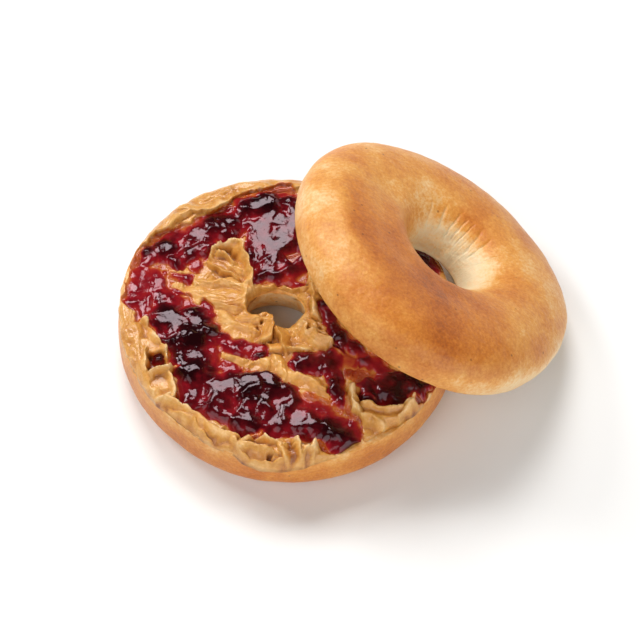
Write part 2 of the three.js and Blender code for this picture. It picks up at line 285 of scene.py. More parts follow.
shader = add_node(tree, "BsdfPrincipled", {
    "Base Color": specked.outputs[2], "Roughness": 0.44, "IOR": 1.45, "Normal": skin.outputs["Normal"],
    "Subsurface Weight": 0.1, "Subsurface Radius": (0.004, 0.002, 0.001), "Subsurface Scale": 0.4,
    "Coat Weight": 0.14, "Coat Roughness": 0.36})
tree.links.new(shader.outputs["BSDF"], output.inputs["Surface"])

bagel_bottom.data.materials.append(crust)
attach(bagel_bottom, "root")
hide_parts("bagel_bottom")


# The peanut butter
# Smooth peanut butter pushed about with a knife: a soft layer over the whole cut face, folded at the rim,
# pulled into curls and peaks where the knife was lifted, and pressed flat under the leaning upper half.

# The layer's thickness, the least of it that is left, how far it is sunk in the crumb, and where and how
# steeply it sinks towards the rim
BUTTER_THICKNESS = 1.9
BUTTER_LEAST = 0.3
BUTTER_SUNK = 0.3
RIM_SAG_FROM = 48.0
RIM_SAG_SLOPE = 0.22

# Its edges at the hole and at the rim: the radius, how square the edge is, and bells that move it out or in,
# each with its angle and width in degrees, its power and how far it goes
BUTTER_HOLE_RADIUS = 8.8
BUTTER_HOLE_WAVES = [(2, 1.3, 0.0)]
BUTTER_RIM_RADIUS = 59.2
EDGE_SQUARENESS = 18
HOLE_EDGE_BELLS = [(230, 28, 4, -5.0), (335, 28, 2, -1.2), (92, 48, 2, 0.9)]
RIM_EDGE_BELLS = [(303, 10, 4, -2.0), (269, 12, 4, 2.8)]

# The grid's steps round and rows across, how far the rows crowd towards the edges, and the shares of the way
# out where the underside has its rings
BUTTER_AROUND = 800
BUTTER_ROWS = 116
EDGE_CROWDING = 0.055
UNDERSIDE_RINGS = [0.985, 0.5, 0.1, 0.03]

# Random passes of the knife: how many, and the range of their distance from the axis, length, width and depth
SWATHS = 80
SWATH_RING = (12, 58)
SWATH_LENGTH = (8, 20)
SWATH_WIDTH = (3.5, 8)
SWATH_DEPTH = (1, 3)

# How softly strokes meet, how widely the surroundings of a place are averaged, how much more the painted
# shade darkens hollows than the painted light brightens crests, and the circles that noise in the folds
# and along the edges runs round
CREASE = 0.4
SURROUND_ROUNDS = 40
HOLLOW_SHADE = 2.4
FOLD_CIRCLE = 18.0
EDGE_CIRCLE = 30.0

# The fine lines that a knife leaves: how far apart, how long and how high
LINE_SPACING, LINE_LENGTH, LINE_HEIGHT = 1.1, 8.0, 0.36

# Where the upper half leans, and the gap that it leaves over the spread
UPPER_RADIUS = 54.9
UPPER_CENTRE = np.array([46.9, 12.3])
UPPER_HEADING = np.radians(27.6)
UPPER_LEAN = np.radians(32.8)
UPPER_EDGE_LIFT = 0.6
BUTTER_GAP = 0.5

# Knife strokes: start, end, bend to the left, width, height, steep side (1 is the left) and lift at the end
KNIFE_STROKES = [
    # the folded edge along the upper left and the left
    ((-39.5, 43.5), (-26, 44.5), -0.8, 8.5, 4.6, -0.9, 0.1),
    ((-28.5, 44), (-11, 53.4), -0.6, 10, 5.4, -0.9, -0.1),
    ((-13, 53.2), (8, 56), 0.5, 8, 4, -0.6, 0),
    ((-39, 41), (-51, 27.5), -0.8, 8.5, 4.2, 0.4, 0),
    ((-51, 27), (-56, 18.5), -0.5, 6.5, 4, 0.3, 0),
    # the ridge beside the bubble, the knob with its spike and the hollow below it
    ((-53, -12), (-49, -27), 0.6, 10, 3.4, 0, 0),
    ((-50, -8), (-41, -21.6), 0.6, 5.6, 5.6, 0.5, 0.1),
    ((-47.4, -20), (-46.6, -28), -1.2, 4.4, 5.4, 0.2, 0),
    ((-44, -30), (-39.6, -28.4), 0.5, 5.6, 6.8, 0.1, 0),
    ((-40.6, -28.6), (-35.4, -26.4), 0.3, 3, 7.4, 0, 0.1),
    ((-47, -27), (-43.4, -38), -0.5, 12, 4.2, 0, 0),
    ((-39.6, -30.4), (-38, -38.8), 1.2, 4.8, 5.6, 0.5, 0),
    ((-38.6, -38), (-43, -41.4), -0.6, 4, 4.8, -0.3, -0.1),
    ((-39.5, -39.6), (-31, -44.6), 0.8, 6, 5.8, 0.4, 0),
    ((-41, -43.5), (-15, -57), -3, 9, 3.4, 0.3, 0),
    ((-37, -43.8), (-24.5, -54), 0.8, 5.4, 5, 0.5, 0),
    ((-31, -45.6), (-14.5, -53), -0.8, 6, 5, 0.5, -0.1),
    ((-26, -52.5), (-14, -58.5), -0.5, 5, 4.2, 0.3, 0),
    # the rough curls of the front edge
    ((-12, -56.5), (12, -57.5), -1, 12, 3.6, 0, 0),
    ((-11, -54.6), (-7, -51.2), 0.8, 5.4, 6.6, -0.2, 0.1),
    ((-8.2, -51.8), (1.5, -55.4), -1, 4.4, 6, 0.3, -0.1),
    ((-13, -57), (-3, -58.4), 0.8, 4.8, 5.6, 0.3, 0),
    ((-15.4, -53.8), (-9, -60.5), -1, 4.6, 5, 0.4, 0),
    ((-8, -60.6), (1.6, -61.6), -0.8, 4.2, 5.2, 0.3, 0),
    ((-0.6, -55), (3.4, -60.6), 0.9, 4.4, 5.8, -0.3, 0.1),
    ((5.6, -53.4), (4.2, -63.6), 1.2, 5.2, 6.8, 0.3, -0.1),
    ((9.4, -55.4), (7.4, -62), -0.9, 4.2, 5.6, 0.3, -0.2),
    ((14, -53.6), (5.6, -55.8), 1.2, 5, 6.6, -0.2, -0.1),
    ((11.6, -56.4), (12.6, -61), -0.8, 4.4, 4.8, 0.3, 0),
    ((14.5, -60.8), (27.5, -55.8), -0.8, 5, 3.4, 0.4, 0),
    # the curl at the right, with a peak at each end
    ((27, -41.4), (41, -42), -1, 12, 5.6, 0, 0),
    ((27.6, -38.6), (41, -39.4), -1.3, 5.2, 7, 0.4, 0),
    ((26.5, -41), (38, -46.6), 1.2, 6, 6.2, -0.3, -0.1),
    ((25, -32.6), (25.6, -41), -1.2, 8, 9, -0.1, -0.15),
    ((28.4, -34), (30.2, -35.4), 0.2, 4.4, 7.4, 0.1, 0),
    ((40.6, -42), (44.6, -33.4), -1.1, 6.4, 8.2, 0.1, 0.15),
    ((46, -38.5), (54, -26.5), -1, 7, 3.6, 0.2, 0),
    # the hooked curl left of the hole and the shelf under it
    ((-27, 18.5), (-18, 14.5), 0, 10, 4.4, 0, 0),
    ((-28, 19.5), (-25.6, 24), 0.7, 4.6, 6.8, 0.2, 0.1),
    ((-26, 24), (-19.2, 23.6), 1, 4.8, 7.6, 0.3, 0),
    ((-19.8, 24), (-15.2, 9.5), 1.4, 5.4, 7.2, 0.6, -0.15),
    ((-25, 21), (-20.5, 17), 0.4, 5.6, 6.2, 0.2, -0.1),
    ((-27.5, 16.5), (-19, 11.8), 0.9, 4.6, 4.8, -0.5, 0),
    ((-31, 9.8), (-16.5, 8), 0.5, 6.5, 4, 0.3, 0),
    ((-31.5, 4), (-15, 2.5), 0, 14, 3.6, 0, 0),
    ((-26, 0), (-15, -1.5), 0.3, 5.5, 3.9, 0.3, 0),
    # the lips of the hole
    ((-15.2, 7.5), (-14.8, -1), -0.6, 5.5, 4.4, 0.3, 0),
    ((-13, 9), (6, 9.8), 0.8, 5.6, 3.8, -0.2, 0),
    ((8.4, 10), (9.6, -2), 0.8, 5, 5.2, -0.3, 0),
    ((6.5, 15), (9.5, 8), 0.3, 5.4, 4.8, 0.2, 0),
    # the tongue, the petals and the spike in front of the hole
    ((-14, -5), (-6, -5), 0, 10, 4, 0, 0),
    ((-13.5, -2.8), (-4.8, -2.6), -0.4, 4, 4.8, 0.4, 0.2),
    ((-4.8, -2.8), (-9, -16), 0.6, 6, 6.2, 0.7, -0.2),
    ((-2.6, -8), (0.5, -16), 0.8, 6.5, 5.6, -0.5, -0.1),
    ((-8.5, -15.4), (8, -15.6), 0, 6, 4.2, -0.5, 0),
    ((4.2, -7.6), (17.6, -16.8), -0.8, 6.5, 6.2, 0.6, 0.1),
    ((9, -8.6), (15, -13.6), 0.8, 5.4, 5.2, 0.3, 0),
    ((4.5, -4), (10, -7.5), 0.4, 5, 5, 0.3, 0),
    ((-22, -5), (-12, -9.5), -0.8, 10, 3.6, 0.2, 0),
    # bare strips that show between the jam
    ((-20, -21.5), (-6, -22.5), 0.6, 6, 3.6, 0.2, 0),
    ((-4, -20), (1, -27), 0.3, 7, 3.6, 0.1, 0),
    ((3, -27), (17, -33), 0.5, 9, 3.6, 0.1, 0),
    ((-38, 5.5), (-32, 3), 0, 6, 3, 0, 0),
]

# Bubbles and dimples: place, radius and depth
BUTTER_PITS = [
    ((-43.4, -23.6), 2.5, 6), ((-44.8, -26), 1.5, 5), ((-42.4, -42.2), 2, 2.8),
    ((-3, -59.4), 1.3, 2.2), ((-8.2, -6), 0.9, 2), ((-10, -8.4), 0.7, 1.4), ((3, -14.8), 0.7, 1.4),
    ((8.2, -9), 1, 2.2), ((-3.6, -8.4), 0.8, 1.8)]

# Spoonfuls of jam, which press the peanut butter flat: the two ends, the width and how thick each is
JAM_DOLLOPS = [
    # the wide patch behind the hole, on under the upper half and round to the right
    ((-17, 43.5), (-10, 46.5), 11, 3.2),
    ((-10, 46.5), (-3, 48), 12, 2.2),
    ((-11, 43), (-6, 19), 16, 2.7),
    ((0, 43), (0, 19), 14, 2.7),
    ((-10, 15.5), (2, 14.5), 9, 1.5),
    ((5, 43), (28, 37), 16, 2.2),
    ((30, 35), (46, 23), 14.8, 2),
    ((46, 21), (50, 1), 12, 1.8),
    ((49, -1), (45, -17), 12, 1.8),
    # the band along the upper left
    ((-50, 20), (-44, 23.7), 9.5, 2.8),
    ((-44, 22.7), (-35, 26), 16.5, 2.2),
    ((-40, 18), (-30, 25), 7, 3.2),
    ((-35, 28), (-25, 33), 15.5, 2),
    ((-25, 34.7), (-18, 38.7), 14.5, 2.4),
    ((-34.5, 19.7), (-33.7, 16.5), 6, 1.8),
    # the band down the left
    ((-53, 13.6), (-51.5, 1.7), 11, 1.7),
    ((-51, 1.7), (-50, -5), 7.5, 1.6),
    ((-47, 12.7), (-44, 2.7), 8, 1.8),
    ((-44, 10.5), (-36, 11), 5, 1.5),
    ((-42, 0.7), (-41, -7), 10.5, 2.4),
    ((-36, 1.5), (-33, -3), 5, 1.2),
    ((-42, -6), (-36, -15), 13, 3.5),
    ((-33, -6), (-29, -13), 12, 3.3),
    ((-28.5, 0), (-27.5, -5), 5, 1.6),
    ((-34, -17), (-31, -27), 14, 3.7),
    ((-31, -28), (-30, -37), 11.5, 2.8),
    ((-24.5, -16), (-26, -29), 6, 1.8),
    ((-21.5, -14.3), (-19, -15.8), 6.5, 2),
    ((-16, -16.5), (-9.5, -17.5), 7, 2.2),
    ((-21, -25), (-16, -27), 7, 1.6),
    # the broad patch in front
    ((-22, -34), (-12, -31.3), 13, 2.8),
    ((-12, -30), (-5, -31.3), 9.5, 3),
    ((-10, -37), (0, -37), 14, 3.7),
    ((-22, -41), (-12, -45), 11, 2.6),
    ((-12, -47), (-2, -45.3), 11, 2.8),
    ((0, -43), (8, -45), 13, 2.6),
    ((6, -40), (20, -40.8), 8.6, 1.6),
    ((9, -35.4), (16, -38), 5, 0.1),
    ((12, -47.3), (22, -48), 13, 2.8),
    ((15, -52), (25, -51), 8, 2.6),
    ((7, -21.8), (13, -21.3), 9.5, 2.6),
    # the strip beside the upper half and the pool in the right curl
    ((17, -17.3), (18.5, -32), 6, 2.2),
    ((18.5, -32), (21.5, -39), 5, 2),
    ((14, 0.7), (17.5, -9), 7, 2.4),
    ((17.5, -9), (24, -14.3), 9, 2.2),
    ((21, -19), (31, -23), 13, 0.7),
    ((25, -16.5), (37, -25), 7, 1.8),
    ((30, -31.3), (44, -29.3), 12, 3.8),
    ((44, -29.3), (50, -27), 6, 2),
    # what has run into the bubble
    ((-43.5, -23.8), (-43.3, -23), 3.4, 2.2),
]


def random_swaths(count, seed):
    """Random passes of the knife: evenly scattered over the ring and drawn within about forty degrees of the
    way round it. Each has its start, end, bend, width, the depth that it leaves and the side it banks up."""
    draw = np.random.default_rng(seed)
    angle = draw.uniform(0, 2 * np.pi, count)
    radius = np.sqrt(draw.uniform(*np.square(SWATH_RING), count))
    heading = angle + np.pi / 2 + draw.normal(0, 0.6, count)
    length = draw.uniform(*SWATH_LENGTH, count)
    middle = radius[:, None] * way_at(angle)
    reach = length[:, None] / 2 * way_at(heading)
    rest = zip(draw.normal(0, 1.2, count), draw.uniform(*SWATH_WIDTH, count),
               draw.uniform(*SWATH_DEPTH, count), draw.choice([-1.0, 1.0], count))
    return [(start, end, *more) for start, end, more in zip(middle - reach, middle + reach, rest)]


def flat(spot):
    """Plan places with a third coordinate of zero, for noise."""
    return np.concatenate([spot, np.zeros(spot.shape[:-1] + (1,))], -1)


def raised(spot, height):
    """Points over plan places, at a height above the cut face."""
    return np.concatenate([spot, (LOWER_HEIGHT + height)[..., None]], -1)


def wandered(spot, far, size, seed):
    """Spots moved sideways by smooth noise, so that what is drawn on them has an uneven outline."""
    return spot + far * np.stack([lumps(flat(spot), size, seed), lumps(flat(spot), size, seed + 1)], -1)


def crested(points, size, seed):
    """Noise folded over at zero: sharp crests of height 1 with rounded hollows between them."""
    return 1 - 2 * np.abs(lumps(points, size, seed))


def drawn_round(spot):
    """Places for noise that is drawn out round the axis: the direction from the axis, on a small circle, and
    the distance from it. At the rim the lumps are then three times as long round it as across."""
    radius = np.linalg.norm(spot, axis=-1, keepdims=True)
    return np.concatenate([FOLD_CIRCLE * way_at(np.arctan2(spot[..., 1], spot[..., 0])), radius], -1)


def leaning_face(spot):
    """The height of the upper half's cut face above a spot: a plane through its centre, tipped by the lean
    towards the heading, and just high enough for the crust round its edge to meet the table."""
    centre_height = (UPPER_RADIUS - CUT_EDGE_INSET) * np.sin(UPPER_LEAN) + UPPER_EDGE_LIFT
    return centre_height - (spot - UPPER_CENTRE) @ way_at(UPPER_HEADING) * np.tan(UPPER_LEAN)


def beside(spot, start, end, bend):
    """Where spots lie against a stroke: the share along it, the distance off its bowed centre line to the
    left, and the distance past its ends. The bow is a parabola with its height at the middle."""
    run = np.subtract(end, start)
    length = np.hypot(*run)
    way = run / length
    reach = (spot - start) @ way
    share = np.clip(reach / length, 0, 1)
    off = (spot - start) @ np.array([-way[1], way[0]]) - bend * 4 * share * (1 - share)
    return share, off, np.abs(reach - share * length)


def jam_cover(spot):
    """How thick the jam lies at a spot, and how far its juice has stained the peanut butter, 0 to 1. A
    spoonful has an uneven outline and a round top: 1 less the cube of the distance off its middle line.
    Spoonfuls meet in a soft maximum that thins towards the edge. The stain fades out about two to four
    millimetres past them."""
    at = wandered(wandered(spot, 1.6, 9, 41), 1.1, 3.2, 43)
    reach = 1.8 + 2.8 * np.maximum(0, lumps(flat(spot), 13, 40))
    film = np.zeros(spot.shape[:-1])
    stain = np.zeros(spot.shape[:-1])
    for start, end, width, height in JAM_DOLLOPS:
        off, past = beside(at, start, end, 0)[1:]
        away = np.hypot(off, past)
        film = film + (height * np.clip(1 - (1.8 * away / width) ** 3, 0, 1)) ** 3
        stain = np.maximum(stain, 1 - ramp(away, width / 2 - 1.2, width / 2 + reach))
    film = np.cbrt(film)
    return film ** 2 / (film + 0.4), stain


def rim_sag(spot):
    """How far the jam and what lies under it sink towards the rim: a steady slope from one radius out."""
    return RIM_SAG_SLOPE * np.maximum(0, np.linalg.norm(spot, axis=-1) - RIM_SAG_FROM)


def swept_depth(at):
    """The depth that random passes of the knife leave: each wipes out what lay there, to a flat swath with a
    bank along one edge."""
    depth = np.full(at.shape[:-1], BUTTER_THICKNESS)
    for start, end, bend, width, left, bank in random_swaths(SWATHS, 30):
        near = np.linalg.norm(at - (start + end) / 2, axis=-1) < np.linalg.norm(end - start) / 2 + width
        off, past = beside(at[near], start, end, bend)[1:]
        wiped = 1 - ramp(np.hypot(off, past) / (width / 2), 0.75, 1.0)
        banked = np.exp(-((off * bank / (width / 2) - 0.95) / 0.18) ** 2) * (1 - ramp(past, 0, 2))
        depth[near] += (left - depth[near]) * wiped + 0.7 * banked
    return depth


def fold_relief(spot, at):
    """Folds on the spread: crests of two sizes drawn out round the axis, and small lumps, all of them strong
    in some places and faint in others."""
    folds = 0.5 * crested(drawn_round(at), 6.5, 22) + 0.26 * crested(drawn_round(at), 2.6, 28)
    folds = folds + 0.09 * lumps(flat(at), 1.3, 36)
    return folds * np.maximum(0.2, 0.8 + 0.9 * lumps(flat(spot), 16, 29))


def across_stroke(off, steep):
    """The height across a stroke, 0 to 1, by the distance off its middle line in half widths: a round roll
    blended with a peaked slope, its crest nearer the steep side."""
    across = off * np.sign(steep + 0.01)
    crest = 0.6 * abs(steep)
    rise = np.where(across < crest, (1 + across) / (1 + crest), (1 - across) / (1 - crest))
    return 0.6 * (1 - (1 - rise) ** 2) ** 0.8 + 0.4 * rise ** 1.4


def butter_depth(spot):
    """The depth of peanut butter over the cut face, and how far its surface leans sideways there. Swaths and
    folds come first, pressed flat where jam lies on top, and there the layer also sinks towards the rim. The
    named strokes stand out of it, with fine lines along them, and meet in soft creases. Pits come last."""
    at = wandered(wandered(spot, 1.3, 8, 23), 1.0, 3.2, 25)
    bare = 1 - 0.8 * ramp(jam_cover(spot)[0], 0.05, 0.6)
    folds = fold_relief(spot, at)
    depth = BUTTER_THICKNESS + (swept_depth(at) - BUTTER_THICKNESS + folds) * bare
    depth = depth - 1.25 * (1 - bare) * rim_sag(spot)
    lean = np.zeros(spot.shape)
    for number, (start, end, bend, width, height, steep, lift) in enumerate(KNIFE_STROKES):
        share, off, past = beside(at, start, end, bend)
        near = np.hypot(off, past) < width / 2
        share, off, past = share[near], off[near], past[near]
        run = np.subtract(end, start)
        length = np.hypot(*run)
        combed = np.stack([off / LINE_SPACING, share * length / LINE_LENGTH, 0 * off + number], -1)
        lifted = (1 + lift * (2 * share - 1)) * (1 - (2 * past / width) ** 2)
        ridge = height * across_stroke(2 * off / width, steep) * lifted
        ridge = ridge + LINE_HEIGHT * crested(combed, 1.0, 27)
        ridge = ridge * (0.4 + 0.6 * bare[near]) + 0.5 * folds[near]
        push = 0.3 * steep * np.maximum(0, ridge - BUTTER_THICKNESS)
        side = np.array([-run[1], run[0]]) / length
        mixed = np.clip(0.5 + (ridge - depth[near]) / (2 * CREASE), 0, 1)
        lean[near] += (push[:, None] * side - lean[near]) * mixed[:, None]
        depth[near] += (ridge - depth[near]) * mixed + CREASE / 2 * mixed * (1 - mixed)
    for middle, radius, sunk in BUTTER_PITS:
        away = np.linalg.norm(at - middle, axis=-1) / radius
        depth = depth - sunk * np.exp(-away ** 6)
    return np.maximum(depth, BUTTER_LEAST), lean


def bump_at(angle, centre, width, power=2):
    """A bell on the circle: 1 at the centre angle, falling off over the width, both in degrees. A higher
    power gives it a flatter top."""
    off = (np.degrees(angle) - centre + 180) % 360 - 180
    return np.exp(-np.abs(off / width) ** power)


def with_bells(value, angle, bells):
    """A value raised or lowered round the axis by bells, each with its centre, width, power and height."""
    for centre, width, power, height in bells:
        value = value + height * bump_at(angle, centre, width, power)
    return value


def spread_spot(share, angle):
    """A spot of the spread, from its ragged edge at the hole (share 0) to its edge at the rim (share 1). A
    tongue pokes into the hole at the front left, the back lip overhangs it, the rim is bare at the front
    right and overhung by the curls in front."""
    ring = flat(EDGE_CIRCLE * way_at(angle))
    hole_edge = BUTTER_HOLE_RADIUS + wavy(angle, BUTTER_HOLE_WAVES)
    hole_edge = hole_edge + 0.6 * lumps(ring, 13, 31) + 0.25 * lumps(ring, 6, 34)
    rim_edge = BUTTER_RIM_RADIUS + wavy(angle, LOWER_WAVES)
    rim_edge = rim_edge + 0.6 * lumps(ring, 5, 32) + 0.4 * lumps(ring, 1.7, 33)
    inner = LOWER_HOLE_CENTRE + with_bells(hole_edge, angle, HOLE_EDGE_BELLS)[..., None] * way_at(angle)
    outer = with_bells(rim_edge, angle, RIM_EDGE_BELLS)[..., None] * way_at(angle)
    return inner + (outer - inner) * share[..., None]


def edge_rounding(share):
    """How much of the depth is left near both edges of the spread: a very square superellipse."""
    return np.sqrt(np.clip(1 - np.abs(2 * share - 1) ** EDGE_SQUARENESS, 0, 1))


def edge_droop(share, angle):
    """How far the spread sags below the cut face: a little at both edges, more in front under the curls, and
    most in drips over the back lip of the hole."""
    drips = np.maximum(0, lumps(flat(EDGE_CIRCLE * way_at(angle)), 9, 35))
    at_hole = (0.5 + (0.6 + 3.0 * drips) * bump_at(angle, 95, 60)) * (1 - ramp(share, 0, 0.06))
    at_rim = (0.5 + 1.8 * bump_at(angle, 266, 14)) * ramp(share, 0.95, 1)
    return at_hole + at_rim


def relief(height, rounds):
    """How far a height stands out above its surroundings, which are the height averaged with its four
    neighbours on the grid again and again."""
    around = height
    for _ in range(rounds):
        padded = np.pad(around, ((0, 0), (1, 1)), "edge")
        neighbours = np.roll(around, 1, 0) + np.roll(around, -1, 0) + padded[:, :-2] + padded[:, 2:]
        around = (around + neighbours) / 5
    return height - around


# The rows of the grid lie closer together towards both edges.
butter_angle = once_round(BUTTER_AROUND)[:, None]
even = np.linspace(0, 1, BUTTER_ROWS)
crowded = even - EDGE_CROWDING * np.sin(2 * np.pi * even)
share_grid, angle_grid = np.broadcast_arrays(crowded[None, :], butter_angle)
butter_spot = spread_spot(share_grid, angle_grid)
depth, lean = butter_depth(butter_spot)

# Painted light and shade: how far each place stands out paints the colour paler on crests and darker in
# hollows, and hollows count more than crests.
crest_light_hollow_shade = relief(depth, SURROUND_ROUNDS)
crest_light_hollow_shade = np.where(crest_light_hollow_shade < 0, HOLLOW_SHADE * crest_light_hollow_shade, crest_light_hollow_shade)
rounding = edge_rounding(share_grid)
depth = np.minimum(depth * rounding, leaning_face(butter_spot) - LOWER_HEIGHT - BUTTER_GAP)
butter_top = raised(butter_spot + lean * rounding[..., None], depth - edge_droop(share_grid, angle_grid))

# A few rings inside both edges close the underside, and juice doesn't reach the tops of the curls.
under_share, under_angle = np.broadcast_arrays(np.array([UNDERSIDE_RINGS]), butter_angle)
butter_under = raised(
    spread_spot(under_share, under_angle), -BUTTER_SUNK - edge_droop(under_share, under_angle))
butter_grid = np.concatenate([butter_top, butter_under], 1)
stain = jam_cover(butter_grid[..., :2])[1] * (1 - ramp(butter_grid[..., 2] - LOWER_HEIGHT, 3.2, 5.2))
# The second attribute is the painted light on crests and painted shade in hollows.
peanut_butter = smooth_piece(
    "peanut_butter_spread", placed(butter_grid.reshape(-1, 3)),
    closed_quads(*butter_grid.shape[:2])[:, ::-1],
    {"stain": stain, "crest_light_hollow_shade": np.pad(crest_light_hollow_shade, ((0, 0), (0, butter_under.shape[1])))})

# Peanut butter: ground roasted nuts in oil, a warm tan paste, into which light soaks a millimetre or two.
# What stands out is painted paler and what lies deep darker and more orange: painted light on the crests
# and painted shade in the hollows. Its oily surface has a soft broken shine, and juice from the jam reddens
# and wets it.
butter, tree, output = new_material("smooth_peanut_butter")
place = add_node(tree, "TexCoord").outputs["Object"]
tint = add_node(tree, "TexNoise", {"Vector": place, "Scale": 1000 / 9, "Detail": 5, "Roughness": 0.6})
fleck = add_node(tree, "TexNoise", {"Vector": place, "Scale": 1000 / 0.9, "Detail": 2})
flecked = add_node(tree, "Math", {0: fleck.outputs["Fac"], 1: 0.35, 2: tint.outputs["Fac"]},
                   operation="MULTIPLY_ADD")
# Painted light on crests and painted shade in hollows, from how far each place stands out
painted_relief = add_node(tree, "Attribute", attribute_name="crest_light_hollow_shade").outputs["Fac"]
paler = add_node(tree, "Math", {0: painted_relief, 1: 0.13, 2: flecked.outputs[0]}, operation="MULTIPLY_ADD")
colour = add_node(tree, "ValToRGB", {"Fac": paler.outputs[0]}, stops=[
    (0.2, "#94500f"), (1.0, "#eec488"), (0.42, "#be782a"), (0.66, "#d4933c"), (0.85, "#e2aa5c")])
juice = add_node(tree, "Attribute", attribute_name="stain").outputs["Fac"]
blot = add_node(tree, "Math", {0: tint.outputs["Fac"], 1: juice}, operation="MULTIPLY")
soaked = add_node(tree, "ValToRGB", {"Fac": blot.outputs[0]}, stops=[
    (0.2, "#ffffff"), (0.64, "#a63a1a"), (0.34, "#efb487"), (0.48, "#d27c48")])
stained = add_node(tree, "Mix", {0: 1.0, 6: colour.outputs["Color"], 7: soaked.outputs["Color"]},
                   data_type="RGBA", blend_type="MULTIPLY")
grain = add_node(tree, "TexNoise", {"Vector": place, "Scale": 1000 / 1.7, "Detail": 6, "Roughness": 0.68})
skin = add_node(tree, "Bump", {"Height": grain.outputs["Fac"], "Strength": 0.9, "Distance": 0.0008})
wet = add_node(tree, "MapRange", {"Value": juice, 1: 0.3, 2: 1.0, 3: 0.36, 4: 0.14})
shader = add_node(tree, "BsdfPrincipled", {
    "Base Color": stained.outputs[2], "Roughness": wet.outputs[0], "IOR": 1.46,
    "Normal": skin.outputs["Normal"],
    "Subsurface Weight": 0.1, "Subsurface Radius": (0.003, 0.0014, 0.0006), "Subsurface Scale": 0.4,
    "Coat Weight": 0.5, "Coat Roughness": 0.15})
tree.links.new(shader.outputs["BSDF"], output.inputs["Surface"])

peanut_butter.data.materials.append(butter)
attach(peanut_butter, "root")
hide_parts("peanut_butter")


# The jam
# Dark grape jam spooned over the peanut butter in a broken ring: wet broken jelly with glinting facets, deep
# wine red where it is thick, crimson where it thins and orange where it only films the peanut butter.

# The level that thick jam lies on, how far jam is sunk in the peanut butter, its gap under the upper half,
# and the share of the way out from the hole that it may take up
JAM_FLOOR = 1.55
JAM_SUNK = 0.25
JAM_GAP = 0.3
JAM_SPAN = (0.03, 0.985)
JAM_MARGIN = 0.3
JAM_AROUND = 760
JAM_ROWS = 112

# Smooth patches of jam that mirror the light whole: place and radius
JAM_MIRRORS = [
    ((-7, 32), 9.5), ((-48, 7), 4.5), ((-47, -2), 4), ((-41, -6), 6), ((-33, -11), 4.5),
    ((-27, -21), 4), ((-27, -28), 3), ((-19, -33), 7.5), ((-12, -31), 4), ((-16, -46), 4), ((-9, -45), 4),
    ((-14, -15), 3.5), ((7, -44), 3.5), ((18, -26), 3), ((19, -33), 3), ((14, -3), 3.5), ((-34, 18), 3.5),
    ((-33, 33), 4), ((-13, 44), 4), ((2, 18), 3.5), ((-29, -2), 3.5), ((-31, -24), 3), ((-53, 9), 6.5),
    ((-51, 0), 5)]

# Smooth patches that are tipped, most of them so that they mirror the dark room overhead: place, radius and
# how far they rise a millimetre to the right and backwards
JAM_SLOPES = [
    ((-1, -32.5), 7, (0, 0.3)), ((-33, -17), 5, (0, 0.3)), ((-33, -32), 5, (0, 0.3)),
    ((9, -22), 4, (0, 0.3)), ((-28, 30), 4.5, (0, 0.3)), ((-43, 25), 8, (-0.16, 0.08))]


def facets(spot, size, tilt, seed):
    """Broken flat patches: each cell of a jittered lattice has its own slope, and a spot takes the planes of
    the cells round it, weighted by a narrow bell of its distance from each cell's own point."""
    draw = np.random.default_rng(seed)
    jitter = draw.uniform(0, 1, (64, 64, 2))
    slope = draw.normal(0, tilt, (64, 64, 2))
    cell = np.floor(spot / size).astype(int)
    height = np.zeros(spot.shape[:-1])
    total = np.zeros(spot.shape[:-1])
    for step in itertools.product((-1, 0, 1), repeat=2):
        column, row = np.moveaxis((cell + step) & 63, -1, 0)
        gap = spot - (cell + step + jitter[column, row]) * size
        weight = np.exp(-8 * np.sum(gap * gap, -1) / size ** 2) + 1e-12
        height += weight * np.sum(slope[column, row] * gap, -1)
        total += weight
    return height / total


def jam_level(spot, bed):
    """The height of the jam over the cut face. A thin film follows the peanut butter under it, and thick jam
    lies on a level floor that sags at the rim. On top are two sizes of facets and soft lumps, calmer in the
    smooth patches, and the slope of each tipped patch, which fades outwards by a bell. Where there is no jam
    the level drops below the peanut butter."""
    film = jam_cover(spot)[0]
    broken = wandered(wandered(spot, 1.2, 5, 51), 0.4, 1.8, 45)
    calm = np.zeros(spot.shape[:-1])
    for middle, radius in JAM_MIRRORS:
        calm = np.maximum(calm, np.exp(-(np.linalg.norm(broken - middle, axis=-1) / radius) ** 4))
    tipped = np.zeros(spot.shape[:-1])
    for middle, radius, rise in JAM_SLOPES:
        here = np.exp(-(np.linalg.norm(broken - middle, axis=-1) / radius) ** 2)
        calm = np.maximum(calm, here)
        tipped = tipped + here * ((spot - middle) @ np.array(rise))
    surface = facets(broken, 7.0, 0.16, 47) + facets(broken, 2.4, 0.06, 49)
    surface = (surface + 0.36 * lumps(flat(broken), 4.4, 48)) * (1 - 0.82 * calm) + tipped
    settled = ramp(film, 0.1, 1.0)
    floor = settled * (JAM_FLOOR - rim_sag(spot)) + (1 - settled) * np.minimum(bed, JAM_FLOOR + 0.8)
    return floor + film + np.clip(film, 0, 1) * surface - 0.4 * (1 - ramp(film, 0, 0.05))


